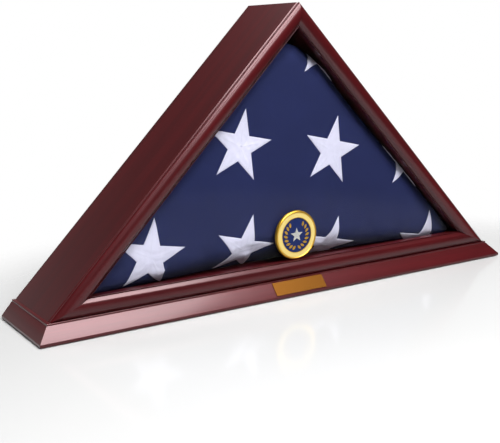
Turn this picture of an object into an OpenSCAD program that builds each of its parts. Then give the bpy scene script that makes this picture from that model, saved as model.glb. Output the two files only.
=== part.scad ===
// Folded flag display case on a moulded base.
// X runs along the case, Y from the glass (front) to the back, Z up.
// The origin is on the standing surface, under the middle of the whole object.

/* [Case box] */
// Length of the case along its base
case_w = 648; // [560:1:700]
// Height of the triangle above the base
case_rise = 330; // [300:1:345]
// Depth of the box boards, front to back
box_d = 106.5; // [90:0.5:130]
// Thickness of the box boards
board_t = 14; // [13:0.5:15]
// Width of the lip left outside the rear rabbet
rear_lip_w = 9; // [8.5:0.1:10]

/* [Front frame] */
// Width of a front rail, from the outside face to the sight edge
rail_w = 20; // [19:0.5:22]
// How far the crest of a rail stands in front of the box
rail_proud = 7; // [6:0.5:9]
// How far the tongue of a rail reaches into the box
tongue_d = 7.5; // [6:0.5:10]

/* [Glazing] */
// Thickness of the glass
glass_t = 3; // [2:0.5:3]
// Depth of a glass stop, front to back
stop_d = 4; // [4:0.5:10]

/* [Back] */
// Thickness of the lift-out back panel
panel_t = 3; // [2.5:0.1:3]
// Thickness of the felt on the inner face of the panel
lining_t = 0.8; // [0.5:0.1:1]
// Reach of a turn button, from its pivot to its tip
button_reach = 24; // [18:1:30]

/* [Base] */
// Height of the base mouldings
base_h = 20; // [18:1:25]
// How far the base stands out past each toe of the case
base_side = 17; // [14:1:24]
// How far the base stands out in front of the box
base_front = 18.5; // [16:0.5:24]
// Width of the flat ledge in front of the box
ledge_front = 5.5; // [5:0.5:8]
// Width of the flat ledge outside each toe
ledge_side = 4; // [3:0.5:6]
// Thickness of the felt feet
foot_t = 1; // [0.5:0.5:3]

/* [Folded flag] */
// Thickness of the folded flag
flag_d = 75; // [60:1:77]
// Gap between the glass and the face of the flag
flag_gap = 5.5; // [5:0.5:12]

/* [Medallion and plate] */
// Diameter of the medallion
medal_dia = 61; // [50:1:66]
// Sideways place of the medallion
medal_x = -0.5; // [-20:0.5:20]
// Length of the name plate
plate_w = 75; // [60:1:90]
// Width of the name plate
plate_h = 17.5; // [12:0.5:18]
// Sideways place of the name plate
plate_x = -7; // [-20:0.5:20]

/* [Hidden] */
$fn = 64;

lacquer = "#5a1a1e";
brass = "#c9a24a";
steel = "#b8b8bc";
felt_green = "#26382c";

// slope of the sides, and the length of a side
slope = atan(case_rise / (case_w / 2));
side_l = norm([case_w / 2, case_rise]);
// distance from every edge to the point where the three mitres meet
in_radius = case_w * case_rise / (case_w + 2 * side_l);

// hardware that stands behind the box: button, its clearance and the screw head
button_t = 1.4;
button_w = 7;
button_clear = 0.15;
screw_head_t = 1.35;
head_clear = 0.1;
rear_proud = button_clear + button_t + head_clear + screw_head_t;

// the box front plane, placed so that the whole object is centred on Y
total_d = base_front + box_d + rear_proud;
front_y = -total_d / 2 + base_front;
rear_y = front_y + box_d;
case_z = foot_t + base_h;

// base plan
base_half_w = case_w / 2 + base_side;
base_front_y = front_y - base_front;
base_back_y = rear_y + 1.2;
moulding_w = 40;
back_rail_w = 30;
core_t = 12;
base_screw_r = 2;
base_screw_bite = 10;
base_head_r = 4;
base_head_t = 2.3;
ledge_drop = 2;
band_h = 3.2;
ledge_nose_r = 1;

// front rail section
arris = 0.8;
board_front_arris = 2.2;
crest_s = 8.5;
crest_base_t = 2;
fall_end_s = rail_w - 1.3;
fall_end_t = 1.9;
lip_t = 1.5;
tongue_s = board_t + 0.3;

// glazing section
glass_s = board_t + 0.6;
stop_s = rail_w - 3;
stop_back_t = -tongue_d - glass_t - stop_d;

// back section
rabbet_d = panel_t + 0.1;
panel_s = rear_lip_w + 0.3;
lining_s = board_t + 0.8;
pivot_s = 4.5;
pivot_hole_r = 1.55;
screw_r = 1.5;
screw_bite = 12;
screw_head_r = 2.9;

// base bevel: where it starts and ends, and its fall
bevel_top = [front_y - ledge_front, case_z - ledge_drop];
bevel_end = [base_front_y, foot_t + band_h];
bevel_fall = atan((bevel_top[1] - bevel_end[1]) / (bevel_top[0] - bevel_end[0]));

// medallion stack, from the glass forward
pad_t = 1;
medal_t = 4.5;
medal_r = medal_dia / 2;
enamel_r = medal_r * 0.71;
ring_in_r = enamel_r + 0.7;
ring_out_r = medal_r - 2.6;
floor_t = 2.6;
ring_floor_t = medal_t - 1.3;
enamel_t = 0.8;
medal_z = case_z + rail_w + 0.3 + medal_dia / 2;
glass_front_y = front_y + tongue_d;

// name plate
tape_t = 0.3;
plate_t = 0.8;
plate_up = 0.4;

// corners of the triangle moved inwards by s: left toe, apex, right toe
function corner(i, s) =
    i == 1 ? [0, case_rise - s / cos(slope)]
           : [(i == 0 ? -1 : 1) * (case_w / 2 - s / tan(slope / 2)), s];
function triangle(s) = [for (i = [0:2]) corner(i, s)];

// points of an arc round c with radii rx and ry, from angle a0 to a1
function arc(c, rx, ry, a0, a1, n) =
    [for (i = [0:n]) let (a = a0 + (a1 - a0) * i / n) c + [rx * cos(a), ry * sin(a)]];

// A prism standing along Y: outline in X and Z of the case, between two depths
// measured forward (+) or back (-) from the box front plane.
module case_prism(outline, t0, t1) {
    translate([0, front_y - t0, case_z])
        rotate([90, 0, 0])
            linear_extrude(height = t1 - t0)
                polygon(outline);
}

// Edge 0 is the bottom, 1 the right side, 2 the left side. Children are drawn
// with their length centred on X, inwards +Z and the box front plane at Y = 0.
module on_edge(edge) {
    turn = edge == 0 ? 0 : edge == 1 ? 180 - slope : 180 + slope;
    mid = edge == 0 ? [0, 0] : [(edge == 1 ? 1 : -1) * case_w / 4, case_rise / 2];
    translate([mid[0], front_y, case_z + mid[1]])
        rotate([0, -turn, 0])
            children();
}

// The third of the triangle that belongs to one edge, cut along the mitres.
module mitre_sector(edge) {
    centre = [0, in_radius];
    a = edge == 0 ? corner(0, 0) : edge == 1 ? corner(2, 0) : corner(1, 0);
    b = edge == 0 ? corner(2, 0) : edge == 1 ? corner(1, 0) : corner(0, 0);
    reach = 1.2;
    case_prism([centre, centre + reach * (a - centre), centre + reach * (b - centre)],
               -box_d - 20, rail_proud + 20);
}

// A length of moulding along one edge: section in s (inwards) and t (forward).
module edge_member(edge, section) {
    intersection() {
        on_edge(edge)
            rotate([180, -90, 0])
                linear_extrude(height = (edge == 0 ? case_w : side_l) + 1, center = true)
                    polygon(section);
        mitre_sector(edge);
    }
}

// place of a turn button along an edge, measured from its middle
function button_edge(i) = i < 2 ? 2 : i < 4 ? 1 : 0;
function button_place(i) = (i % 2 == 0 ? 1 : -1) * (i < 4 ? 100 : 150);

// Children are drawn at the pivot of button i, on the rear face of the box:
// +X along the edge, +Z inwards, +Y away from the box.
module at_button(i) {
    on_edge(button_edge(i))
        translate([button_place(i), box_d, pivot_s])
            children();
}

board_section = [[board_front_arris, 0], [board_t, 0], [board_t, -box_d + rabbet_d],
                 [rear_lip_w, -box_d + rabbet_d], [rear_lip_w, -box_d],
                 [arris, -box_d], [0, -box_d + arris], [0, -board_front_arris]];

// A rail: half-round outside shoulder, a long oval fall towards the sight edge, a
// small step to the lip, and a tongue that reaches back into the box.
rail_section = concat(
    [[tongue_s, 0], [arris, 0], [0, arris]],
    arc([crest_s, crest_base_t], crest_s, rail_proud - crest_base_t, 180, 90, 8),
    arc([crest_s, fall_end_t], fall_end_s - crest_s, rail_proud - fall_end_t, 82, 0, 8),
    [[fall_end_s, lip_t], [rail_w, lip_t], [rail_w, -tongue_d], [tongue_s, -tongue_d]]);

module board(edge) {
    color(lacquer)
        difference() {
            edge_member(edge, board_section);
            for (i = [0:5]) if (button_edge(i) == edge) at_button(i) button_screw_hole();
            brads(edge);
            if (edge == 0) base_screw_holes(base_screw_r, base_screw_bite);
        }
}

module button_screw_hole() {
    rotate([90, 0, 0]) translate([0, 0, -1]) cylinder(r = screw_r, h = screw_bite + 1);
}

module left_side_board() board(2);
module right_side_board() board(1);
module bottom_board() board(0);

module front_rail(edge) {
    color(lacquer)
        difference() {
            edge_member(edge, rail_section);
            for (i = [0:2]) v_nail(i);
        }
}

module front_left_rail() front_rail(2);
module front_right_rail() front_rail(1);
module front_bottom_rail() front_rail(0);

// A bent steel nail pressed across the mitre at corner i, from behind the rails.
module v_nail(i) {
    nail_s = 8;
    nail_leg = 6;
    nail_t = 0.6;
    nail_h = 4;
    leg_turn = 50;
    p = corner(i, nail_s);
    toward = i == 0 ? slope / 2 : i == 1 ? -90 : 180 - slope / 2;
    translate([p[0], front_y, case_z + p[1]])
        rotate([90, 0, 0])
            rotate([0, 0, toward])
                linear_extrude(height = nail_h)
                    for (side = [-1, 1])
                        rotate([0, 0, side * leg_turn])
                            translate([-nail_t / 2, -nail_t / 2])
                                square([nail_leg, nail_t]);
}

module rail_v_nails() {
    color(steel) for (i = [0:2]) v_nail(i);
}

module glass_pane() {
    color("#dfe9ea", 0.35)
        case_prism(triangle(glass_s), -tongue_d - glass_t, -tongue_d);
}

module glass_stop(edge) {
    color(lacquer)
        difference() {
            edge_member(edge, [[board_t, stop_back_t], [stop_s, stop_back_t],
                               [stop_s, -tongue_d - glass_t], [board_t, -tongue_d - glass_t]]);
            brads(edge);
        }
}

module glass_stop_left() glass_stop(2);
module glass_stop_right() glass_stop(1);
module glass_stop_bottom() glass_stop(0);

// Two thin brads hold each glass stop to its board.
module brads(edge) {
    brad_l = 12;
    brad_r = 0.6;
    brad_place = 120;
    for (side = [-1, 1])
        on_edge(edge)
            translate([side * brad_place, -stop_back_t - stop_d / 2, stop_s - brad_l])
                cylinder(r = brad_r, h = brad_l);
}

module glass_stop_brads() {
    color(steel) for (edge = [0:2]) brads(edge);
}

module back_panel() {
    color("#3a2b22")
        case_prism(triangle(panel_s), -box_d, -box_d + panel_t);
}

module panel_lining() {
    color(felt_green)
        case_prism(triangle(lining_s), -box_d + panel_t, -box_d + panel_t + lining_t);
}

// A flat brass turn button, drawn released, along its edge.
module turn_button(i) {
    color(brass)
        at_button(i)
            translate([0, button_clear + button_t, 0])
                rotate([90, 0, 0])
                    linear_extrude(height = button_t)
                        difference() {
                            union() {
                                circle(r = button_w / 2);
                                translate([0, -button_w / 2])
                                    square([button_reach - button_w / 2, button_w]);
                                translate([button_reach - button_w / 2, 0])
                                    circle(r = button_w / 2);
                            }
                            circle(r = pivot_hole_r);
                        }
}

module turn_button_left_low() turn_button(0);
module turn_button_left_high() turn_button(1);
module turn_button_right_high() turn_button(2);
module turn_button_right_low() turn_button(3);
module turn_button_bottom_right() turn_button(4);
module turn_button_bottom_left() turn_button(5);

module turn_button_screws() {
    head_y = button_clear + button_t + head_clear;
    for (i = [0:5])
        color(steel)
            at_button(i)
                rotate([-90, 0, 0])
                    difference() {
                        union() {
                            translate([0, 0, -screw_bite])
                                cylinder(r = screw_r, h = screw_bite + head_y);
                            translate([0, 0, head_y])
                                cylinder(r = screw_head_r, h = screw_head_t);
                        }
                        translate([0, 0, head_y + screw_head_t]) cross_slot(3.2, 0.7, 1.6);
                    }
}

// The cross-shaped recess in a screw head.
module cross_slot(long, wide, deep) {
    for (turn = [0, 90]) rotate([0, 0, turn]) cube([long, wide, deep], center = true);
}

// Section of a base moulding: out is the distance to its outer face, and
// bevel_run the width of its bevel in plan. A small rounded nose ends the ledge.
function base_section(out, bevel_run) =
    let (nose = [out - bevel_run - ledge_nose_r, case_z - ledge_nose_r])
    concat([[out - moulding_w, foot_t], [out, foot_t], [out, foot_t + band_h],
            [out - bevel_run, case_z - ledge_drop]],
           arc(nose, ledge_nose_r, ledge_nose_r, 0, 90, 4),
           [[out - moulding_w, case_z]]);

// plan wedge that keeps the part of a base member on one side of its mitres
module base_mitre(member) {
    deep = base_back_y - base_front_y + 1;
    extra = 2;
    near = -base_half_w - extra;
    translate([0, 0, -1])
        linear_extrude(height = case_z + 2)
            translate([0, base_front_y])
                if (member == 0)
                    polygon([[near, -extra], [-near, -extra], [-near - deep, deep - extra],
                             [near + deep, deep - extra]]);
                else
                    mirror([member < 0 ? 0 : 1, 0])
                        polygon([[near, -extra], [near + deep, deep - extra],
                                 [near, deep - extra]]);
}

module base_front_moulding() {
    color(lacquer)
        intersection() {
            rotate([90, 0, 90])
                linear_extrude(height = 2 * base_half_w, center = true)
                    mirror([1, 0])
                        polygon(base_section(-base_front_y, base_front - ledge_front));
            base_mitre(0);
        }
}

module base_side_moulding(side) {
    color(lacquer)
        intersection() {
            mirror([side < 0 ? 1 : 0, 0, 0])
                translate([0, base_back_y, 0])
                    rotate([90, 0, 0])
                        linear_extrude(height = base_back_y - base_front_y)
                            polygon(base_section(base_half_w, base_side - ledge_side));
            base_mitre(side);
        }
}

module base_left_moulding() base_side_moulding(-1);
module base_right_moulding() base_side_moulding(1);

module base_back_rail() {
    inner_half_w = base_half_w - moulding_w;
    color(lacquer)
        translate([-inner_half_w, base_back_y - back_rail_w, foot_t])
            cube([2 * inner_half_w, back_rail_w, base_h]);
}

module base_core_board() {
    inner_half_w = base_half_w - moulding_w;
    y0 = base_front_y + moulding_w;
    color("#b08b5e")
        difference() {
            translate([-inner_half_w, y0, case_z - core_t])
                cube([2 * inner_half_w, base_back_y - back_rail_w - y0, core_t]);
            base_screw_holes(base_screw_r + 0.1, base_screw_bite);
            at_base_screws()
                translate([0, 0, case_z - core_t])
                    cylinder(r1 = base_head_r + 0.2, r2 = base_screw_r + 0.1,
                             h = base_head_t + 0.1);
        }
}

module at_base_screws() {
    for (x = [-210, 210], y = [-12, 22]) translate([x, y, 0]) children();
}

module base_screw_holes(r, reach) {
    at_base_screws()
        translate([0, 0, case_z - core_t - 1]) cylinder(r = r, h = core_t + 1 + reach);
}

// Countersunk screws up through the core board into the bottom board.
module base_screws() {
    color(steel)
        at_base_screws()
            translate([0, 0, case_z - core_t])
                difference() {
                    union() {
                        cylinder(r1 = base_head_r, r2 = base_screw_r, h = base_head_t);
                        cylinder(r = base_screw_r, h = core_t + base_screw_bite);
                    }
                    cross_slot(4.4, 0.9, 2.4);
                }
}

module felt_feet() {
    inset = 22;
    color("#1d1d1f")
        for (x = [-base_half_w + inset, 0, base_half_w - inset],
             y = [base_front_y + inset, base_back_y - inset / 2 - 4])
            translate([x, y, 0]) cylinder(r = 9, h = foot_t);
}

// The folded flag as one simple block; its point has slumped a little.
module folded_flag() {
    flag_s = board_t + 1.5;
    sit_s = board_t + 0.3;
    slump_z = case_rise - 72;
    top_z = case_rise - 42;
    half_sit = case_w / 2 - flag_s / tan(slope / 2) - (sit_s - flag_s) / tan(slope);
    half_slump = (corner(1, flag_s)[1] - slump_z) / tan(slope);
    front_t = -tongue_d - glass_t - flag_gap;
    color("#2c2f5e")
        case_prism([[-half_sit + 16, sit_s], [-half_sit + 8, sit_s + 8], [-half_slump, slump_z],
                    [-10, top_z], [10, top_z], [half_slump, slump_z],
                    [half_sit - 8, sit_s + 8], [half_sit - 16, sit_s]],
                   front_t - flag_d, front_t);
}

module at_medallion() {
    translate([medal_x, glass_front_y, medal_z]) rotate([90, 0, 0]) children();
}

// A struck disc with a rounded, stepped rim and two floors that hold the enamel.
module medallion_body() {
    edge_z = 2.6;
    round_w = 1.6;
    wall_z = medal_t - 0.5;
    color(brass)
        at_medallion()
            translate([0, 0, pad_t])
                rotate_extrude()
                    polygon(concat([[0, 0], [medal_r - 0.6, 0], [medal_r, 0.6]],
                        arc([medal_r - round_w, edge_z], round_w, medal_t - edge_z, 0, 90, 6),
                        [[ring_out_r + 0.5, medal_t], [ring_out_r, wall_z],
                         [ring_out_r, ring_floor_t], [ring_in_r, ring_floor_t],
                         [ring_in_r, wall_z], [enamel_r, wall_z], [enamel_r, floor_t],
                         [0, floor_t]]));
}

module medallion_ring() {
    color("#e9e2cf")
        at_medallion()
            translate([0, 0, pad_t + ring_floor_t])
                difference() {
                    cylinder(r = ring_out_r, h = enamel_t);
                    translate([0, 0, -1]) cylinder(r = ring_in_r, h = enamel_t + 2);
                }
}

module medallion_enamel() {
    color("#1b2f8a")
        at_medallion()
            translate([0, 0, pad_t + floor_t]) cylinder(r = enamel_r, h = enamel_t);
}

// Children stand on the blue enamel, +Z towards the viewer.
module on_enamel() {
    at_medallion() translate([0, 0, pad_t + floor_t + enamel_t]) children();
}

// A plain five-pointed star.
module medallion_star() {
    star_r = 9.5;
    notch = 0.42;
    color("#e8e6df")
        on_enamel()
            linear_extrude(height = 0.5)
                polygon([for (i = [0:9]) let (r = i % 2 == 0 ? star_r : star_r * notch)
                    r * [sin(36 * i), cos(36 * i)]]);
}

// Two sprays of laurel leaves round the star, open at the top.
module medallion_wreath() {
    leaf_ring_r = 16.2;
    leaf_r = 4;
    leaf_off = 2.5;
    color("#d8b45a")
        on_enamel()
            for (side = [-1, 1], i = [0:7])
                rotate([0, 0, side * (14 + 18.5 * i)])
                    translate([0, -leaf_ring_r])
                        rotate([0, 0, side * -62])
                            linear_extrude(height = 0.4)
                                intersection() {
                                    translate([0, leaf_off]) circle(r = leaf_r);
                                    translate([0, -leaf_off]) circle(r = leaf_r);
                                }
}

module medallion_pad() {
    color("#202020") at_medallion() cylinder(r = medal_r * 0.8, h = pad_t);
}

// Children lie on the bevel: +X along it, +Y up the slope, +Z out of it.
module on_bevel() {
    mid = (bevel_top + bevel_end) / 2;
    translate([plate_x, mid[0], mid[1]])
        rotate([bevel_fall, 0, 0])
            children();
}

module name_plate() {
    color(brass)
        on_bevel()
            translate([-plate_w / 2, -plate_h / 2 + plate_up, tape_t])
                cube([plate_w, plate_h, plate_t]);
}

module name_plate_tape() {
    edge = 1;
    color("#202020")
        on_bevel()
            translate([-plate_w / 2 + edge, -plate_h / 2 + edge + plate_up, 0])
                cube([plate_w - 2 * edge, plate_h - 2 * edge, tape_t]);
}

left_side_board();
right_side_board();
bottom_board();
front_left_rail();
front_right_rail();
front_bottom_rail();
rail_v_nails();
glass_pane();
glass_stop_left();
glass_stop_right();
glass_stop_bottom();
glass_stop_brads();
back_panel();
panel_lining();
turn_button_left_low();
turn_button_left_high();
turn_button_right_high();
turn_button_right_low();
turn_button_bottom_right();
turn_button_bottom_left();
turn_button_screws();
base_front_moulding();
base_left_moulding();
base_right_moulding();
base_back_rail();
base_core_board();
base_screws();
felt_feet();
folded_flag();
medallion_body();
medallion_ring();
medallion_enamel();
medallion_star();
medallion_wreath();
medallion_pad();
name_plate();
name_plate_tape();
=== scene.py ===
"""Folded flag display case: lacquered mahogany mouldings, glass, folded cotton flag with
sewn stars, gilt medallion, brass plate, and the stage they stand on."""
import math

import bmesh
import bpy
import numpy as np
from bpy.props import FloatProperty, FloatVectorProperty, PointerProperty
from mathutils import Matrix, Vector


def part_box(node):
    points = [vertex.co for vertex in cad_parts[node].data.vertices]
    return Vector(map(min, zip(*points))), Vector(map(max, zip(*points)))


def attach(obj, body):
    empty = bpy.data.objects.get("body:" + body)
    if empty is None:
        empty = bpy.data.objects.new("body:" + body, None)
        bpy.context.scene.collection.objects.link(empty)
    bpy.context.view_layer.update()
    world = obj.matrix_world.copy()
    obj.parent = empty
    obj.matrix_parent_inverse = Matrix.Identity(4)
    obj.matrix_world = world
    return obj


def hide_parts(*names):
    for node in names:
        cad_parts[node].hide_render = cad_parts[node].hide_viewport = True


bl_info = {
    "name": "Folded flag display case",
    "version": (1, 0, 0),
    "blender": (4, 5, 0),
    "location": "3D View > Sidebar > Flag case",
    "description": "Finishes, cloth and stage for a folded flag display case",
    "category": "Object",
}

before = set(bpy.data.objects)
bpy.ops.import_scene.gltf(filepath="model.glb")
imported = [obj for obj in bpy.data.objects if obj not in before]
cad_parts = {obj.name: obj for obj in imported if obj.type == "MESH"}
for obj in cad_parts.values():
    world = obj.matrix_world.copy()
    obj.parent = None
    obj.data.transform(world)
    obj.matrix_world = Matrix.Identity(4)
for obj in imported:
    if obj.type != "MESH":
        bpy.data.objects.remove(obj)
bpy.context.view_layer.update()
MM = 0.001

# Sizes read from the frame, in millimetres, and the few section sizes it can't give.
BOARD = [v / MM for v in (*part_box("bottom_board")[0], *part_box("bottom_board")[1])]
SIDE_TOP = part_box("left_side_board")[1].z / MM
CASE_Z = BOARD[2]
FRONT_Y = BOARD[1]
HALF_W = BOARD[3]
RISE = SIDE_TOP - CASE_Z
SLOPE = math.atan2(RISE, HALF_W)
GLASS_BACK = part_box("glass_pane")[1].y / MM
BASE = [v / MM for v in (*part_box("base_front_moulding")[0], *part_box("base_front_moulding")[1])]
BASE_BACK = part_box("base_left_moulding")[1].y / MM


def linear(hex_colour):
    """An sRGB hex colour as the linear RGBA that shaders want."""
    c = np.array([int(hex_colour[i : i + 2], 16) / 255 for i in (1, 3, 5)])
    lin = np.where(c <= 0.04045, c / 12.92, ((c + 0.055) / 1.055) ** 2.4)
    return (*lin.tolist(), 1.0)


def rgb(hex_colour):
    return linear(hex_colour)[:3]


# ---------------------------------------------------------------- properties


def colour_prop(name, description, hex_colour):
    return FloatVectorProperty(
        name=name, description=description, subtype="COLOR", size=3, min=0, max=1,
        default=rgb(hex_colour),
    )


class WoodProps(bpy.types.PropertyGroup):
    dark: colour_prop("Dark grain", "Stain in the pores and the late growth", "#270507")
    light: colour_prop("Light grain", "Stain on the early growth", "#43090d")


class FlagProps(bpy.types.PropertyGroup):
    navy: colour_prop("Field", "Dyed cotton of the field", "#242a55")
    white: colour_prop("Stars", "Bleached cotton of the sewn stars", "#e0dcf4")
    fold_roll: FloatProperty(
        name="Fold roll", description="Radius of the rolled side folds",
        default=0.0045, unit="LENGTH",
    )
    star_lift: FloatProperty(
        name="Star lift", description="How far a sewn star stands off the field",
        default=0.0009, unit="LENGTH",
    )


class StageProps(bpy.types.PropertyGroup):
    floor: colour_prop("Floor", "Plain pale floor", "#aeaeae")
    key_power: FloatProperty(
        name="Key power", description="Power of the large overhead soft box",
        default=72.0, unit="POWER",
    )
    fill_power: FloatProperty(
        name="Fill power", description="Power of the high soft box in front",
        default=34.0, unit="POWER",
    )
    rear_power: FloatProperty(
        name="Rear power", description="Power of the narrow soft box behind",
        default=9.0, unit="POWER",
    )
    lens: FloatProperty(
        name="Lens", description="Focal length of the camera, in millimetres",
        default=63.59,
    )


# ---------------------------------------------------------------- mesh helpers


def put_mesh(name, verts, faces, material, smooth_angle=None, body="case"):
    """Numpy vertices in millimetres and a list of faces become an object at the origin."""
    mesh = bpy.data.meshes.new(name)
    mesh.from_pydata((np.asarray(verts, float) * MM).tolist(), [], faces)
    mesh.update()
    obj = bpy.data.objects.new(name, mesh)
    bpy.context.scene.collection.objects.link(obj)
    if smooth_angle is not None:
        mesh.polygons.foreach_set("use_smooth", np.ones(len(mesh.polygons), bool))
        mesh.set_sharp_from_angle(angle=math.radians(smooth_angle))
    mesh.materials.append(material)
    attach(obj, body)
    return obj


def grid_faces(rows, cols, wrap_rows=False, wrap_cols=False, start=0):
    """Quads of a rows x cols grid of vertices, as an integer array."""
    r = np.arange(rows if wrap_rows else rows - 1)
    c = np.arange(cols if wrap_cols else cols - 1)
    r, c = np.meshgrid(r, c, indexing="ij")
    r2, c2 = (r + 1) % rows, (c + 1) % cols
    quads = np.stack([r * cols + c, r * cols + c2, r2 * cols + c2, r2 * cols + c], -1)
    return quads.reshape(-1, 4) + start


def outward(obj):
    """Recalculates the normals of a closed piece so that they point outwards."""
    bm = bmesh.new()
    bm.from_mesh(obj.data)
    bmesh.ops.remove_doubles(bm, verts=bm.verts, dist=1e-7)
    bmesh.ops.recalc_face_normals(bm, faces=bm.faces)
    bm.to_mesh(obj.data)
    bm.free()


def arc(centre, rx, ry, a0, a1, n):
    """n + 1 points of an ellipse arc about centre, angles in degrees."""
    a = np.radians(np.linspace(a0, a1, n + 1))
    return np.stack([centre[0] + rx * np.cos(a), centre[1] + ry * np.sin(a)], 1)


def bar(name, section, start, end, material, smooth_angle=40):
    """A moulding: a closed section carried straight from one end plane to the other.
    start and end give, for every section point, where the two mitred ends are."""
    n = len(section)
    steps = np.linspace(0, 1, 9)[:, None, None]
    verts = start[None] + (end - start)[None] * steps
    faces = grid_faces(len(steps), n, wrap_cols=True).tolist()
    faces += [list(range(n)), list(range((len(steps) - 1) * n, len(steps) * n))]
    obj = put_mesh(name, verts.reshape(-1, 3), faces, material, smooth_angle)
    outward(obj)
    obj.data.set_sharp_from_angle(angle=math.radians(smooth_angle))
    return obj


# ---------------------------------------------------------------- material helpers


def add(tree, kind, settings=None, **links):
    """Adds a node. settings sets its attributes or input values, links joins its inputs;
    an underscore in a link's name stands for a space, and a trailing number is a place."""
    node = tree.nodes.new(kind)
    for key, value in (settings or {}).items():
        if isinstance(key, str) and hasattr(node, key):
            setattr(node, key, value)
        else:
            node.inputs[key].default_value = value
    for key, source in links.items():
        place = int(key[1:]) if key[0] == "i" and key[1:].isdigit() else key.replace("_", " ")
        tree.links.new(source, node.inputs[place])
    return node


def new_material(name, **shader):
    """A material with one Principled shader whose plain sockets are set directly."""
    mat = bpy.data.materials.new(name)
    mat.use_nodes = True
    tree = mat.node_tree
    tree.nodes.clear()
    settings = {k.replace("_", " "): v for k, v in shader.items()}
    bsdf = add(tree, "ShaderNodeBsdfPrincipled", settings)
    add(tree, "ShaderNodeOutputMaterial", None, Surface=bsdf.outputs[0])
    return mat, tree, bsdf


def ramp(tree, source, stops):
    """A colour ramp through (place, colour) stops."""
    node = add(tree, "ShaderNodeValToRGB", None, Fac=source)
    band = node.color_ramp
    while len(band.elements) < len(stops):
        band.elements.new(0.5)
    for element, (place, colour) in zip(band.elements, stops):
        element.position = place
        element.color = colour
    return node.outputs[0]


def bump(tree, bsdf, height, strength, distance_mm):
    node = add(tree, "ShaderNodeBump", {"Strength": strength, "Distance": distance_mm * MM},
               Height=height)
    tree.links.new(node.outputs[0], bsdf.inputs["Normal"])


def object_space(tree, turn=(0, 0, 0), stretch=(1, 1, 1)):
    """Object coordinates for a pattern that has a direction: the pattern's own axes are
    turned by turn, and stretch is how many pattern units fit in a metre along each."""
    place = add(tree, "ShaderNodeTexCoord").outputs["Object"]
    node = add(tree, "ShaderNodeMapping", {"vector_type": "TEXTURE", "Rotation": turn,
               "Scale": tuple(1 / v for v in stretch)}, Vector=place)
    return node.outputs[0]


MATERIALS = {}


def lacquered_mahogany(name, turn):
    """Stained mahogany under satin lacquer. The eye sees fine dark pores drawn out along
    the length, slow changes of tone between growth rings, and one soft clear highlight."""
    props = bpy.context.scene.flag_case_wood
    mat, tree, bsdf = new_material(
        name, Roughness=0.32, IOR=1.5, Specular_Tint=(1.0, 0.62, 0.66, 1.0),
        Coat_Weight=0.2, Coat_Roughness=0.15, Coat_IOR=1.5,
    )
    # pores about 0.7 mm wide and 40 mm long; growth bands 12 mm wide and 500 mm long
    fine = object_space(tree, turn, (25, 900, 900))
    broad = object_space(tree, turn, (2, 60, 60))
    pores = add(tree, "ShaderNodeTexNoise", {"Scale": 1, "Detail": 3, "Roughness": 0.6},
                Vector=fine).outputs[0]
    bands = add(tree, "ShaderNodeTexNoise", {"Scale": 1, "Detail": 4, "Distortion": 0.8},
                Vector=broad).outputs[0]
    mixed = add(tree, "ShaderNodeMath", {"operation": "MULTIPLY_ADD", 1: 0.5}, i0=pores,
                i2=bands).outputs[0]
    dark, light = (*props.dark, 1), (*props.light, 1)
    colour = ramp(tree, mixed, [(0.45, dark), (1.0, light)])
    tree.links.new(colour, bsdf.inputs["Base Color"])
    bump(tree, bsdf, pores, 0.05, 0.15)
    return mat


def woven_cotton(name, colour):
    """Plain-woven cotton bunting, threads 0.4 mm apart. From arm's length the weave only
    takes the gloss off; what shows is soft rumpling and a slightly uneven dye."""
    mat, tree, bsdf = new_material(name, Roughness=0.9, IOR=1.4, Specular_IOR_Level=0.25)
    place = object_space(tree)
    thread = math.pi / (10 * 0.4 * MM)
    warp = add(tree, "ShaderNodeTexWave", {"bands_direction": "X", "Scale": thread / 2},
               Vector=place)
    weft = add(tree, "ShaderNodeTexWave", {"bands_direction": "Z", "Scale": thread / 2},
               Vector=place)
    weave = add(tree, "ShaderNodeMath", {"operation": "ADD"}, i0=warp.outputs[1],
                i1=weft.outputs[1]).outputs[0]
    rumple = add(tree, "ShaderNodeTexNoise", {"Scale": 70.0, "Detail": 2}, Vector=place).outputs[0]
    height = add(tree, "ShaderNodeMath", {"operation": "MULTIPLY_ADD", 1: 0.04}, i0=weave,
                 i2=rumple).outputs[0]
    uneven = add(tree, "ShaderNodeTexNoise", {"Scale": 22.0, "Detail": 4}, Vector=place).outputs[0]
    low = tuple(v * 0.88 for v in colour)
    shade = ramp(tree, uneven, [(0.3, (*low, 1)), (0.7, (*colour, 1))])
    tree.links.new(shade, bsdf.inputs["Base Color"])
    bump(tree, bsdf, height, 0.5, 0.5)
    return mat


def polished_gilt(name, colour, roughness, coat):
    """Gold-plated, polished metal: warm, with a soft, slightly wavy reflection."""
    mat, tree, bsdf = new_material(
        name, Base_Color=linear(colour), Metallic=1.0, Roughness=roughness,
        Coat_Weight=coat, Coat_Roughness=0.1,
    )
    waves = add(tree, "ShaderNodeTexNoise", {"Scale": 180.0, "Detail": 2},
                Vector=object_space(tree)).outputs[0]
    bump(tree, bsdf, waves, 0.08, 0.15)
    return mat


def brushed_brass(name, colour):
    """Lacquered brass brushed along its length: 0.15 mm scratches that blur the shine."""
    mat, tree, bsdf = new_material(
        name, Base_Color=linear(colour), Metallic=1.0, Coat_Weight=0.3, Coat_Roughness=0.15,
    )
    lines = add(tree, "ShaderNodeTexNoise", {"Scale": 1.0, "Detail": 2},
                Vector=object_space(tree, (0, 0, 0), (60, 3000, 3000))).outputs[0]
    rough = add(tree, "ShaderNodeMapRange", {"To Min": 0.38, "To Max": 0.55}, Value=lines)
    tree.links.new(rough.outputs[0], bsdf.inputs["Roughness"])
    bump(tree, bsdf, lines, 0.08, 0.05)
    return mat


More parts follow.
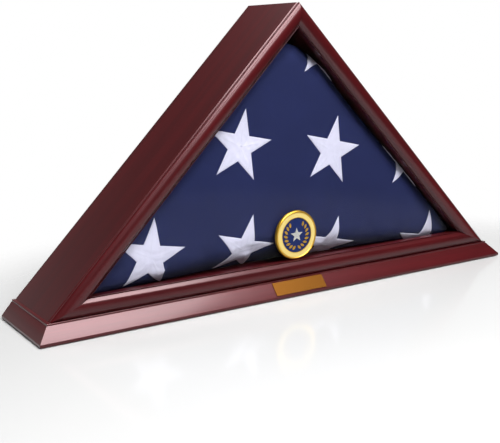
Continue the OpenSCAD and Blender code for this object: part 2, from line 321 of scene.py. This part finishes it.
def vitreous_enamel(name, colour):
    """Fired glass enamel: even colour, a hard gloss, and a trace of orange peel."""
    mat, tree, bsdf = new_material(
        name, Base_Color=linear(colour), Roughness=0.35, IOR=1.3, Coat_Weight=0.1,
        Coat_Roughness=0.05,
    )
    peel = add(tree, "ShaderNodeTexNoise", {"Scale": 400.0}, Vector=object_space(tree)).outputs[0]
    bump(tree, bsdf, peel, 0.05, 0.05)
    return mat


def pressed_felt(name, colour):
    """Pressed wool felt: no gloss, a speckled nap about 1 mm across."""
    mat, tree, bsdf = new_material(name, Roughness=0.95, Sheen_Weight=0.15, Sheen_Roughness=0.5)
    nap = add(tree, "ShaderNodeTexNoise", {"Scale": 900.0, "Detail": 3},
              Vector=object_space(tree)).outputs[0]
    base = linear(colour)
    tree.links.new(
        ramp(tree, nap, [(0.3, tuple(v * 0.7 for v in base[:3]) + (1,)), (0.7, base)]),
        bsdf.inputs["Base Color"],
    )
    bump(tree, bsdf, nap, 0.5, 0.3)
    return mat


def stained_board(name, low, high, roughness):
    """Thin fibreboard or pine, stained or bare: short fibres, no lacquer."""
    mat, tree, bsdf = new_material(name, Roughness=roughness, IOR=1.45)
    fibre = add(tree, "ShaderNodeTexNoise", {"Scale": 1.0, "Detail": 4},
                Vector=object_space(tree, (0, 0, 0), (25, 400, 400))).outputs[0]
    tree.links.new(ramp(tree, fibre, [(0.3, linear(low)), (0.7, linear(high))]),
                   bsdf.inputs["Base Color"])
    bump(tree, bsdf, fibre, 0.15, 0.2)
    return mat


def zinc_plated_steel(name):
    """Zinc-plated steel: grey, dull-bright, slightly mottled."""
    mat, tree, bsdf = new_material(name, Metallic=1.0, Roughness=0.35)
    mottle = add(tree, "ShaderNodeTexNoise", {"Scale": 700.0}, Vector=object_space(tree)).outputs[0]
    tree.links.new(ramp(tree, mottle, [(0.3, linear("#8e8e90")), (0.7, linear("#b9babd"))]),
                   bsdf.inputs["Base Color"])
    return mat


def clear_glass(name):
    """Float glass 3 mm thick: clear, with a thin reflection that grows at a slant."""
    mat = bpy.data.materials.new(name)
    mat.use_nodes = True
    tree = mat.node_tree
    tree.nodes.clear()
    clear = add(tree, "ShaderNodeBsdfTransparent", {"Color": linear("#fdfefd")})
    shine = add(tree, "ShaderNodeBsdfGlossy", {"Color": linear("#ffffff"), "Roughness": 0.02})
    slant = add(tree, "ShaderNodeFresnel", {"IOR": 1.12})
    mix = add(tree, "ShaderNodeMixShader", None, i0=slant.outputs[0], i1=clear.outputs[0],
              i2=shine.outputs[0])
    add(tree, "ShaderNodeOutputMaterial", None, Surface=mix.outputs[0])
    return mat


def soft_foam(name):
    """Black foam adhesive: matt, fine open cells."""
    mat, tree, bsdf = new_material(name, Roughness=0.9)
    cells = add(tree, "ShaderNodeTexVoronoi", {"Scale": 1200.0},
                Vector=object_space(tree)).outputs[0]
    tree.links.new(ramp(tree, cells, [(0.0, linear("#0c0c0d")), (0.8, linear("#1d1d1f"))]),
                   bsdf.inputs["Base Color"])
    return mat


def make_materials():
    """All finishes, each named for what the real one is."""
    flag = bpy.context.scene.flag_case_flag
    M = MATERIALS
    M["wood_level"] = lacquered_mahogany("lacquered mahogany, level", (0, 0, 0))
    M["wood_left"] = lacquered_mahogany("lacquered mahogany, left slope", (0, -SLOPE, 0))
    M["wood_right"] = lacquered_mahogany("lacquered mahogany, right slope", (0, SLOPE, 0))
    M["wood_depth"] = lacquered_mahogany("lacquered mahogany, across the case",
                                         (0, 0, math.pi / 2))
    M["navy"] = woven_cotton("woven cotton, navy", tuple(flag.navy))
    M["white"] = woven_cotton("woven cotton, white", tuple(flag.white))
    M["gilt"] = polished_gilt("polished gilt brass", "#d3a53c", 0.42, 0.2)
    M["silver"] = polished_gilt("polished nickel silver", "#d9d9d6", 0.25, 0.0)
    M["cream"] = vitreous_enamel("cream enamel", "#c9b36a")
    M["blue"] = vitreous_enamel("blue enamel", "#081a4c")
    M["plate"] = brushed_brass("brushed brass plate", "#6b4418")
    M["button"] = brushed_brass("brushed brass turn button", "#c6a050")
    M["green_felt"] = pressed_felt("pressed felt, dark green", "#20302a")
    M["foot_felt"] = pressed_felt("pressed felt, black", "#1b1b1d")
    M["panel"] = stained_board("stained fibreboard", "#20100d", "#3a2019", 0.6)
    M["core"] = stained_board("bare pine board", "#a58052", "#c8a677", 0.75)
    M["steel"] = zinc_plated_steel("zinc-plated steel")
    M["glass"] = clear_glass("clear float glass")
    M["foam"] = soft_foam("black adhesive foam")


def dress(material, *nodes):
    """Puts a finish on CAD nodes, whose shape is right as it is."""
    for node in nodes:
        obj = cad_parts[node]
        obj.data.materials.clear()
        obj.data.materials.append(MATERIALS[material])


# ---------------------------------------------------------------- case geometry


def corner(i, s):
    """Corner i (left toe, top, right toe) of the triangle moved inwards by s. x and z."""
    s = np.asarray(s, float)
    if i == 1:
        return np.stack([0 * s, RISE - s / math.cos(SLOPE) + CASE_Z], -1)
    side = -1 if i == 0 else 1
    return np.stack([side * (HALF_W - s / math.tan(SLOPE / 2)), s + CASE_Z], -1)


def rail_section():
    """Front rail, as distance inwards s and forwards t: small arris, half-round shoulder up
    to the crest, a gentle fall t = 7 - 1.05 ((s - 8.5) / 5.9)^2, a 45 degree bevel, a
    groove, a lip and a tongue behind."""
    fall = np.linspace(8.5, 14.4, 10)[1:]
    return np.concatenate([
        [[14.3, 0], [9, 0], [4, 0]],
        arc((1, 1), 1, 1, 270, 180, 5),
        arc((8.5, 2), 8.5, 5, 180, 90, 24),
        np.stack([fall, 7 - 1.05 * ((fall - 8.5) / 5.9) ** 2], 1),
        [[14.9, 5.72], [15.3, 5.42], [15.7, 5.05], [17.1, 3.65], [18.3, 2.45], [18.6, 2.1]],
        arc((19.0, 1.6), 0.3, 0.5, 180, 360, 6),
        arc((19.65, 1.55), 0.35, 0.35, 150, 0, 6),
        [[20, 0.6], [20, -1.5], [20, -4.5], [20, -7.5], [14.3, -7.5], [14.3, -3]],
    ])


class CASE_OT_rails(bpy.types.Operator):
    """The three mitred front rails"""

    bl_idname = "flag_case.rails"
    bl_label = "Front rails"

    def execute(self, context):
        section = rail_section()
        s, t = section[:, 0], section[:, 1]
        for a, b, node, finish in (
            (0, 2, "front_bottom_rail", "wood_level"),
            (2, 1, "front_right_rail", "wood_right"),
            (1, 0, "front_left_rail", "wood_left"),
        ):
            y = FRONT_Y - t
            ends = [np.stack([corner(i, s)[:, 0], y, corner(i, s)[:, 1]], 1) for i in (a, b)]
            rail = bar(node + "_moulded", section, ends[0], ends[1], MATERIALS[finish], 35)
            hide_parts(node)
        return {"FINISHED"}


def base_section():
    """Base moulding, as distance q inwards from its outer face and height z: band with soft
    arrises, flat bevel, and a small rounded strip at the ledge."""
    z0, z1 = BASE[2], BASE[5]
    band, run, drop, r = 3.2, 13.0, 2.0, 0.6
    foot = arc((r, z0 + r), r, r, 270, 180, 4)
    fall = math.degrees(math.atan2(z1 - drop - z0 - band, run))
    brow = arc((r, z0 + band - 0.15), r, r, 180, 90 + fall, 4)
    nose = arc((run + 1, z1 - 1), 1, 1, 200, 90, 8)
    return np.concatenate([
        [[40, z0], [20, z0]], foot, brow, [[run - 0.5, z1 - drop - 0.35], [run, z1 - drop]],
        nose, [[25, z1], [40, z1], [40, (z0 + z1) / 2]],
    ])


class CASE_OT_base(bpy.types.Operator):
    """The mitred mouldings of the base"""

    bl_idname = "flag_case.base"
    bl_label = "Base mouldings"

    def execute(self, context):
        section = base_section()
        q, z = section[:, 0], section[:, 1]
        half, front = BASE[3], BASE[1]
        left = np.stack([-half + q, front + q, z], 1)
        right = np.stack([half - q, front + q, z], 1)
        back_left = np.stack([-half + q, 0 * q + BASE_BACK, z], 1)
        back_right = np.stack([half - q, 0 * q + BASE_BACK, z], 1)
        for node, a, b, finish in (
            ("base_front_moulding", left, right, "wood_level"),
            ("base_left_moulding", back_left, left, "wood_depth"),
            ("base_right_moulding", right, back_right, "wood_depth"),
        ):
            piece = bar(node + "_shaped", section, a, b, MATERIALS[finish], 30)
            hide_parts(node)
        return {"FINISHED"}


class CASE_OT_woodwork(bpy.types.Operator):
    """Finishes of the boards, stops, back and fixings, whose CAD shapes stay"""

    bl_idname = "flag_case.woodwork"
    bl_label = "Woodwork and fixings"

    def execute(self, context):
        dress("wood_left", "left_side_board", "glass_stop_left")
        dress("wood_right", "right_side_board", "glass_stop_right")
        dress("wood_level", "bottom_board", "glass_stop_bottom", "base_back_rail")
        dress("core", "base_core_board")
        dress("panel", "back_panel")
        dress("green_felt", "panel_lining")
        dress("foot_felt", "felt_feet")
        dress("steel", "rail_v_nails", "glass_stop_brads", "turn_button_screws", "base_screws")
        dress("button", *[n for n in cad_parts
                          if n.startswith("turn_button") and n != "turn_button_screws"])
        dress("glass", "glass_pane")
        return {"FINISHED"}


# ---------------------------------------------------------------- folded flag

FACE_Y = FRONT_Y + 16.0
FLAG_D = 75.0
SIDE_S = 15.8
SEAT_Z = 14.6
SLUMP_Z = 256.0
TOP_Z = 287.0


def flag_sides():
    """The five straight sides of the flag's outline: a point and an inward direction each,
    as x and z above the ledge. In order: bottom, right, upper right, upper left, left."""
    peak = RISE - SIDE_S / math.cos(SLOPE)
    sx = (peak - SLUMP_Z) / math.tan(SLOPE)
    upper = math.atan2(TOP_Z - SLUMP_Z, sx)
    side = lambda a: (-math.sin(a), -math.cos(a))
    right, over = side(SLOPE), side(upper)
    return [
        ((0, SEAT_Z), (0, 1)), ((sx, SLUMP_Z), right), ((0, TOP_Z), over),
        ((0, TOP_Z), (-over[0], over[1])), ((-sx, SLUMP_Z), (-right[0], right[1])),
    ]


def bottom_swell(x):
    """1 where the lower fold is fattest, just left of the middle, 0 towards the toes."""
    return np.exp(-(((x + 20) / 170) ** 2))


def fold_radii(x, side):
    """Depth and height of the roll at a side of the flag. The lower fold is fat in the
    middle; the others are tight."""
    if side == 0:
        return 9 + 32 * bottom_swell(x), 8 + 32 * bottom_swell(x)
    roll = bpy.context.scene.flag_case_flag.fold_roll / MM
    return roll + 0 * x, roll + 0 * x


def flag_outline(n):
    """n points round the flag's outline, x and z: the five sides with rounded corners, by
    pushing a large ring inwards to each side and then averaging neighbours."""
    a = np.linspace(0, 2 * np.pi, 4096, endpoint=False)
    centre = np.array([0.0, 105.0])
    d = np.stack([np.sin(a), np.cos(a)], 1)
    reach = np.full(len(a), 1e9)
    for point, inward in flag_sides():
        along = -(d @ np.array(inward))
        gap = (centre - np.array(point)) @ np.array(inward)
        reach = np.where(along > 1e-6, np.minimum(reach, gap / np.maximum(along, 1e-6)), reach)
    ring = centre + d * reach[:, None]
    step = np.linalg.norm(np.roll(ring, -1, 0) - ring, axis=1)
    where = np.concatenate([[0], np.cumsum(step)])
    even = np.linspace(0, where[-1], n, endpoint=False)
    closed = np.vstack([ring, ring[:1]])
    ring = np.stack([np.interp(even, where, closed[:, k]) for k in (0, 1)], 1)
    for _ in range(24):
        ring = (np.roll(ring, 1, 0) + 2 * ring + np.roll(ring, -1, 0)) / 4
    return ring, centre


def flag_block():
    """The folded flag before it settles: rings of the outline, drawn in towards the middle.
    From the front: flat face, rolled edge, seven rounded fold layers, back roll, flat back."""
    n = 420
    ring, centre = flag_outline(n)
    x = ring[:, 0]
    low = 1 / (1 + np.exp((ring[:, 1] - 45) / 6))
    deep0, high0 = fold_radii(x, 0)
    deep1, high1 = fold_radii(x, 1)
    deep = deep1 + (deep0 - deep1) * low
    high = high1 + (high0 - high1) * low
    inner = 100.0
    rows = []
    for k in np.linspace(0.02, 1, 14)[:-1]:
        rows.append(((1 - high / inner) * k, FACE_Y + 0 * x))
    for a in np.radians(np.linspace(0, 90, 11)):
        rows.append((1 - high / inner * (1 - math.sin(a)), FACE_Y + deep * (1 - math.cos(a))))
    layers, back_roll = 6, 7.0
    length = FLAG_D - back_roll - deep
    for f in np.linspace(0, 1, layers * 8 + 1)[1:]:
        groove = 2.6 * (1 - abs(math.sin(math.pi * layers * f)) ** 0.7)
        rows.append((1 - groove / inner + 0 * x, FACE_Y + deep + length * f))
    for a in np.radians(np.linspace(90, 0, 7)):
        rows.append((1 - (2.6 * math.sin(a) + back_roll * (1 - math.sin(a))) / inner + 0 * x,
                     FACE_Y + FLAG_D - back_roll * (1 - math.cos(a)) + 0 * x))
    for k in np.linspace(1, 0.02, 12)[1:]:
        rows.append(((1 - back_roll / inner) * k + 0 * x, FACE_Y + FLAG_D + 0 * x))
    scale = np.stack([r[0] for r in rows])
    depth = np.stack([r[1] for r in rows])
    plan = centre + (ring - centre)[None] * scale[..., None]
    verts = np.stack([plan[..., 0], depth, plan[..., 1] + CASE_Z], -1).reshape(-1, 3)
    faces = grid_faces(len(rows), n, wrap_cols=True).tolist()
    last = (len(rows) - 1) * n
    faces += [list(range(n)), list(range(last, last + n))]
    return verts, faces


def side_distances(x, z):
    """Distance inwards from each outside face of the case: bottom, right, left."""
    zc = z - CASE_Z
    sn, cs = math.sin(SLOPE), math.cos(SLOPE)
    return zc, (HALF_W - x) * sn - zc * cs, (HALF_W + x) * sn - zc * cs


def wrinkles(x, z, seed, waves, low_mm, high_mm):
    """A smooth random height, -1 to 1: sine waves in random directions, bent by each other."""
    rng = np.random.default_rng(seed)
    total = np.zeros_like(x)
    for _ in range(waves):
        a, phase = rng.uniform(0, np.pi), rng.uniform(0, 2 * np.pi)
        length = rng.uniform(low_mm, high_mm)
        u = x * math.cos(a) + z * math.sin(a)
        v = z * math.cos(a) - x * math.sin(a)
        total += np.sin(2 * np.pi * (u + 5 * np.sin(v / length * 2.1 + phase)) / length + phase)
    return total / math.sqrt(waves)


def read_verts(mesh):
    co = np.empty(len(mesh.vertices) * 3)
    mesh.vertices.foreach_get("co", co)
    return co.reshape(-1, 3) / MM


def write_verts(mesh, verts):
    mesh.vertices.foreach_set("co", (verts * MM).ravel())
    mesh.update()


def applied(obj):
    """The object's mesh as its modifiers leave it, with the modifiers taken off."""
    dg = bpy.context.evaluated_depsgraph_get()
    mesh = bpy.data.meshes.new_from_object(obj.evaluated_get(dg))
    obj.modifiers.clear()
    obj.data = mesh
    return obj


def settle(obj, frames, cap_mm):
    """Lets the cloth swell and settle under a light inner pressure, then keeps each point
    within cap_mm of where it began."""
    start = read_verts(obj.data)
    cloth = obj.modifiers.new("settle", "CLOTH")
    cs = cloth.settings
    cs.quality = 4
    cs.mass = 0.3
    cs.tension_stiffness = cs.compression_stiffness = 14
    cs.shear_stiffness = 6
    cs.bending_stiffness = 0.35
    cs.use_pressure = True
    cs.uniform_pressure_force = 2.2
    cs.shrink_min = -0.02
    cs.effector_weights.gravity = 0
    cloth.collision_settings.use_collision = False
    scene = bpy.context.scene
    scene.frame_start, scene.frame_end = 1, frames
    cloth.point_cache.frame_start, cloth.point_cache.frame_end = 1, frames
    for f in range(1, frames + 1):
        scene.frame_set(f)
    applied(obj)
    scene.frame_set(1)
    moved = read_verts(obj.data) - start
    far = np.linalg.norm(moved, axis=1, keepdims=True) + 1e-9
    write_verts(obj.data, start + moved * (cap_mm * np.tanh(far / cap_mm) / far))


# How close the cloth may come to a side board's outer face and to the case's underside,
# how far from an outer face the front of the flag is free to bulge, and the voxel size, mm.
SIDE_CLEAR = 14.5
FLOOR_CLEAR = 14.4
BULGE_FROM = 25.0
FREE_FROM = 24.0
VOXEL = 4.2

# centre x and z above the ledge of the puckers where the lower fold tucks the stars under
PUCKERS = [(-186.0, 33.0), (-66.0, 30.5), (46.0, 30.0)]


def puckered(x, z):
    """How far the cloth stands out at the puckers, mm: a soft knuckle 3.4 exp(-q^2) inside
    a crease 0.8 exp(-((q - 1.5) / 0.35)^2), q the distance from the centre over its size."""
    out = np.zeros_like(x)
    for cx, cz in PUCKERS:
        q = np.hypot((x - cx) / 8.5, (z - CASE_Z - cz) / 6.5)
        out += 3.4 * np.exp(-(q**2)) - 0.8 * np.exp(-(((q - 1.5) / 0.35) ** 2))
    return out


class CASE_OT_flag(bpy.types.Operator):
    """The folded flag, settled as cloth"""

    bl_idname = "flag_case.flag"
    bl_label = "Folded flag"

    def execute(self, context):
        verts, faces = flag_block()
        flag = put_mesh("folded_flag_cloth", verts, faces, MATERIALS["navy"], None, "flag")
        outward(flag)
        remesh = flag.modifiers.new("even", "REMESH")
        remesh.mode = "VOXEL"
        remesh.voxel_size = VOXEL * MM
        applied(flag)
        settle(flag, 18, 3.5)
        v = read_verts(flag.data)
        x, y, z = v.T
        low, right, left = side_distances(x, z)
        edge = np.minimum(np.minimum(low, right), left)
        face = 1 / (1 + np.exp((y - FACE_Y - 8) / 3))
        y = y - 2.2 * face * np.clip((edge - BULGE_FROM) / 60, 0, 1)
        y = y + face * (0.35 * wrinkles(x, z, 11, 7, 45, 120) + 0.12 * wrinkles(x, z, 5, 9, 14, 34))
        gather = np.exp(-(((low - 34) / 17) ** 2)) * bottom_swell(x)
        y = y + gather * face * 1.4 * np.sin(x / 9.5 + 0.9 * np.sin(x / 23.0) + low / 30)
        y = y - puckered(x, z) / (1 + np.exp((y - FACE_Y - 16) / 3))
        limit = np.where(edge > FREE_FROM, GLASS_BACK + 1.5, FACE_Y - 1.2)
        y = np.maximum(y, limit)
        sn, cs = math.sin(SLOPE), math.cos(SLOPE)
        push = np.maximum(0, SIDE_CLEAR - right)
        x, z = x - push * sn, z - push * cs
        push = np.maximum(0, SIDE_CLEAR - left)
        x, z = x + push * sn, z - push * cs
        z = np.maximum(z, CASE_Z + FLOOR_CLEAR)
        write_verts(flag.data, np.stack([x, y, z], 1))
        flag.modifiers.new("fine", "SUBSURF")
        flag.modifiers["fine"].levels = flag.modifiers["fine"].render_levels = 1
        applied(flag)
        flag.data.polygons.foreach_set("use_smooth", np.ones(len(flag.data.polygons), bool))
        flag.data.materials.clear()
        flag.data.materials.append(MATERIALS["navy"])
        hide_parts("folded_flag")
        return {"FINISHED"}


# centre x and z above the ledge, size and clockwise turn in degrees of each sewn star,
# on the cloth rolled out flat
STARS = [
    (-196.7, 48.8, 46, 9.8), (-75.2, 164.9, 46, 11.6), (-69.2, 38.6, 46, 14.5),
    (61.0, 149.3, 46, 12.5), (62.2, 22.1, 45, 14.0), (227.4, 2.3, 53, 11.4),
    (52.6, 278.4, 46, 13.1), (196.2, 129.8, 46, 10.5),
]


def roll_on(x, z):
    """Lays flat cloth round the flag: a point past the start of a fold follows the rolled
    edge by the same length of cloth, and then runs straight back along the side."""
    y = np.full_like(x, FACE_Y)
    worst = np.zeros_like(x)
    out = np.stack([x, y, z], 1)
    for side, (point, inward) in enumerate(flag_sides()):
        deep, high = fold_radii(x, side)
        d = (x - point[0]) * inward[0] + (z - point[1]) * inward[1]
        past = high - d
        a = np.linspace(0, np.pi / 2, 60)[:, None]
        step = np.sqrt((deep * np.sin(a)) ** 2 + (high * np.cos(a)) ** 2)
        length = np.concatenate([0 * step[:1], np.cumsum((step[1:] + step[:-1]) / 2, 0)]) * a[1]
        at = np.clip((length < past).sum(0) - 1, 0, len(a) - 2)
        cols = np.arange(len(x))
        span = length[at + 1, cols] - length[at, cols]
        turn = a[at, 0] + a[1, 0] * np.clip((past - length[at, cols]) / span, 0, 1)
        beyond = np.maximum(past - length[-1], 0)
        shift = high * (1 - np.sin(turn)) - d
        rolled = np.stack([x + inward[0] * shift, FACE_Y + deep * (1 - np.cos(turn)) + beyond,
                           z + inward[1] * shift], 1)
        take = past > np.maximum(worst, 0)
        out[take] = rolled[take]
        worst = np.maximum(worst, past)
    return out


def star_grid(cx, cz, size, turn, rings, spokes):
    """A five-pointed star as rings x spokes: rings run out to the outline, whose radius at
    each angle comes from the straight edge between a tip and a notch."""
    rho = np.linspace(0, 1, rings)[:, None]
    ang = np.linspace(0, 2 * np.pi, spokes, endpoint=False)[None]
    wedge = np.abs((ang + np.pi / 5) % (2 * np.pi / 5) - np.pi / 5)
    tip, notch = 1.0, 0.385
    nx, nz = notch * math.cos(np.pi / 5), notch * math.sin(np.pi / 5)
    edge = tip * nz / (nz * np.cos(wedge) + (tip - nx) * np.sin(wedge))
    a = ang + math.radians(turn)
    r = rho * edge * size
    return cx + r * np.sin(a), cz + r * np.cos(a), rho + 0 * ang, wedge + 0 * rho, r


class CASE_OT_stars(bpy.types.Operator):
    """The white stars sewn on the field"""

    bl_idname = "flag_case.stars"
    bl_label = "Sewn stars"

    def execute(self, context):
        lift = context.scene.flag_case_flag.star_lift / MM
        rings, spokes = 26, 240
        verts, faces, heights = [], [], []
        for k, (cx, cz, size, turn) in enumerate(STARS):
            x, z, rho, wedge, r = star_grid(cx, cz, size, turn, rings, spokes)
            seat = roll_on(x.ravel(), z.ravel())
            seat[:, 2] += CASE_Z
            rim = 1 - np.clip((rho - 0.9) / 0.1, 0, 1) ** 3
            ridge = np.exp(-((wedge / 0.09) ** 2)) * np.clip(r / 12, 0, 1) * (1 - rho**4)
            stitch = np.exp(-(((rho - 0.955) / 0.02) ** 2)) * np.clip(r / 20, 0, 1)
            soft = wrinkles(x, z, 40 + k, 6, 9, 22)
            high = lift * (0.75 * rim + 0.3 * ridge - 0.35 * stitch + 0.25 * soft * (1 - rho**6))
            high[-1] = -0.35
            heights.append(high.ravel())
            faces.append(grid_faces(rings, spokes, wrap_cols=True, start=len(seat) * k))
            verts.append(seat)
        stars = put_mesh("sewn_stars", np.concatenate(verts), np.concatenate(faces).tolist(),
                         MATERIALS["white"], None, "flag")
        wrap = stars.modifiers.new("lie on the cloth", "SHRINKWRAP")
        wrap.target = bpy.data.objects["folded_flag_cloth"]
        wrap.wrap_method = "NEAREST_SURFACEPOINT"
        applied(stars)
        bm = bmesh.new()
        bm.from_mesh(stars.data)
        bm.normal_update()
        bm.to_mesh(stars.data)
        bm.free()
        normals = np.empty(len(stars.data.vertices) * 3)
        stars.data.vertices.foreach_get("normal", normals)
        normals = normals.reshape(-1, 3)
        base = read_verts(stars.data)
        middle = np.array([0.0, FACE_Y + FLAG_D / 2, CASE_Z + 105.0])
        wrong = ((base - middle) * normals).sum(1) < 0
        normals[wrong] *= -1
        write_verts(stars.data, base + normals * np.concatenate(heights)[:, None])
        outward(stars)
        stars.data.polygons.foreach_set("use_smooth", np.ones(len(stars.data.polygons), bool))
        stars.data.materials.clear()
        stars.data.materials.append(MATERIALS["white"])
        return {"FINISHED"}


# ---------------------------------------------------------------- medallion and plate


class CASE_OT_medallion(bpy.types.Operator):
    """Finishes of the medallion, whose CAD shapes stay"""

    bl_idname = "flag_case.medallion"
    bl_label = "Medallion"

    def execute(self, context):
        dress("gilt", "medallion_body")
        dress("cream", "medallion_ring")
        dress("blue", "medallion_enamel")
        dress("silver", "medallion_star")
        dress("gilt", "medallion_wreath")
        dress("foam", "medallion_pad")
        return {"FINISHED"}


class CASE_OT_plate(bpy.types.Operator):
    """Finishes of the blank name plate"""

    bl_idname = "flag_case.plate"
    bl_label = "Name plate"

    def execute(self, context):
        dress("plate", "name_plate")
        dress("foam", "name_plate_tape")
        return {"FINISHED"}


# ---------------------------------------------------------------- stage


def soft_box(name, place, aim, size, power, colour="#ffffff"):
    """A rectangular soft light at place, facing aim, metres."""
    light = bpy.data.lights.new(name, "AREA")
    light.shape = "RECTANGLE"
    light.size, light.size_y = size
    light.energy = power
    light.color = rgb(colour)
    obj = bpy.data.objects.new(name, light)
    bpy.context.scene.collection.objects.link(obj)
    direction = Vector(aim) - Vector(place)
    turn = direction.to_track_quat("-Z", "Y").to_matrix().to_4x4()
    obj.matrix_world = Matrix.Translation(place) @ turn
    return obj


def satin_white_laminate(name, colour):
    """Satin white laminate: plain, with a faint mirror image at a slant. It thins out to
    nothing from 0.42 to 0.7 m round a point in front, so that no horizon shows."""
    mat, tree, bsdf = new_material(name, Roughness=0.1, IOR=1.3, Base_Color=(*colour, 1))
    place = object_space(tree)
    away = add(tree, "ShaderNodeVectorMath", {"operation": "DISTANCE", 1: (0, -0.25, 0)},
               Vector=place).outputs[1]
    gone = add(tree, "ShaderNodeMapRange", {"interpolation_type": "SMOOTHSTEP", "From Min": 0.42,
                                            "From Max": 0.7}, Value=away).outputs[0]
    clear = add(tree, "ShaderNodeBsdfTransparent")
    mix = add(tree, "ShaderNodeMixShader", None, i0=gone, i1=bsdf.outputs[0], i2=clear.outputs[0])
    out = next(n for n in tree.nodes if n.type == "OUTPUT_MATERIAL")
    tree.links.new(mix.outputs[0], out.inputs["Surface"])
    return mat


def studio_air(name):
    """A white studio: white where it is looked at, a dim room for what the pieces mirror,
    and a bright low wall behind, which the floor mirrors."""
    world = bpy.data.worlds.new(name)
    world.use_nodes = True
    tree = world.node_tree
    tree.nodes.clear()
    way = add(tree, "ShaderNodeTexCoord").outputs["Generated"]
    parts = add(tree, "ShaderNodeSeparateXYZ", None, Vector=way)
    low = add(tree, "ShaderNodeMapRange", {"interpolation_type": "SMOOTHSTEP", "From Min": 0.35,
              "From Max": 0.22, "To Min": 0.0, "To Max": 1.0}, Value=parts.outputs[2]).outputs[0]
    behind = add(tree, "ShaderNodeMapRange", {"interpolation_type": "SMOOTHSTEP",
                 "From Min": -0.1, "From Max": 0.3}, Value=parts.outputs[1]).outputs[0]
    wall = add(tree, "ShaderNodeMath", {"operation": "MULTIPLY"}, i0=low, i1=behind).outputs[0]
    dim = add(tree, "ShaderNodeMapRange", {"To Min": 0.04, "To Max": 0.5}, Value=wall).outputs[0]
    seen = add(tree, "ShaderNodeLightPath").outputs["Is Camera Ray"]
    strength = add(tree, "ShaderNodeMath", {"operation": "MAXIMUM"}, i0=dim, i1=seen).outputs[0]
    shade = add(tree, "ShaderNodeBackground", {"Color": (1, 1, 1, 1)}, Strength=strength)
    add(tree, "ShaderNodeOutputWorld", None, Surface=shade.outputs[0])
    return world


class CASE_OT_stage(bpy.types.Operator):
    """Floor, soft lights and camera"""

    bl_idname = "flag_case.stage"
    bl_label = "Stage"

    def execute(self, context):
        props = context.scene.flag_case_stage
        floor_shade = satin_white_laminate("satin white laminate", tuple(props.floor))
        size = 6.0
        mesh = bpy.data.meshes.new("floor")
        mesh.from_pydata([(-size, -size, 0), (size, -size, 0), (size, size, 0), (-size, size, 0)],
                         [], [(0, 1, 2, 3)])
        floor = bpy.data.objects.new("floor", mesh)
        mesh.materials.append(floor_shade)
        context.scene.collection.objects.link(floor)
        context.scene.world = studio_air("studio air")
        context.scene.view_settings.view_transform = "Standard"
        soft_box("overhead bank", (0.01, -0.75, 1.5), (0.01, -0.75, 0), (1.42, 1.1),
                 props.key_power)
        soft_box("front fill", (0.1, -2.6, 1.9), (0, 0, 0.12), (0.9, 0.7), props.fill_power)
        soft_box("rear strip", (0, 1.15, 1.75), (0, 0.3, 0), (1.6, 0.3), props.rear_power)

        camera = bpy.data.cameras.new("camera")
        camera.lens = props.lens
        camera.sensor_width = 36.0
        obj = bpy.data.objects.new("camera", camera)
        context.scene.collection.objects.link(obj)
        place = Vector((-627.5, -904.9, 307.8)) * MM
        target = Vector((-71.6, -47.0, 98.3)) * MM
        turn = (target - place).to_track_quat("-Z", "Y").to_matrix()
        obj.matrix_world = (Matrix.Translation(place) @ turn.to_4x4()
                            @ Matrix.Rotation(math.radians(-0.79), 4, "Z"))
        context.scene.camera = obj
        return {"FINISHED"}


class CASE_PT_panel(bpy.types.Panel):
    """Lists the operators and their settings in the sidebar"""

    bl_idname = "CASE_PT_panel"
    bl_label = "Folded flag display case"
    bl_space_type = "VIEW_3D"
    bl_region_type = "UI"
    bl_category = "Flag case"

    def draw(self, context):
        for operator in OPERATORS:
            self.layout.operator(operator.bl_idname)
        for group in ("flag_case_wood", "flag_case_flag", "flag_case_stage"):
            props = getattr(context.scene, group)
            for name in props.__annotations__:
                self.layout.prop(props, name)


OPERATORS = (CASE_OT_stage, CASE_OT_rails, CASE_OT_base, CASE_OT_woodwork, CASE_OT_flag,
             CASE_OT_stars, CASE_OT_medallion, CASE_OT_plate)
CLASSES = (WoodProps, FlagProps, StageProps, *OPERATORS, CASE_PT_panel)


def register():
    for cls in CLASSES:
        bpy.utils.register_class(cls)
    bpy.types.Scene.flag_case_wood = PointerProperty(type=WoodProps)
    bpy.types.Scene.flag_case_flag = PointerProperty(type=FlagProps)
    bpy.types.Scene.flag_case_stage = PointerProperty(type=StageProps)


def unregister():
    for name in ("flag_case_wood", "flag_case_flag", "flag_case_stage"):
        delattr(bpy.types.Scene, name)
    for cls in reversed(CLASSES):
        bpy.utils.unregister_class(cls)


def main():
    register()
    make_materials()
    for operator in OPERATORS:
        group, name = operator.bl_idname.split(".")
        getattr(getattr(bpy.ops, group), name)()


if __name__ == "__main__":
    main()
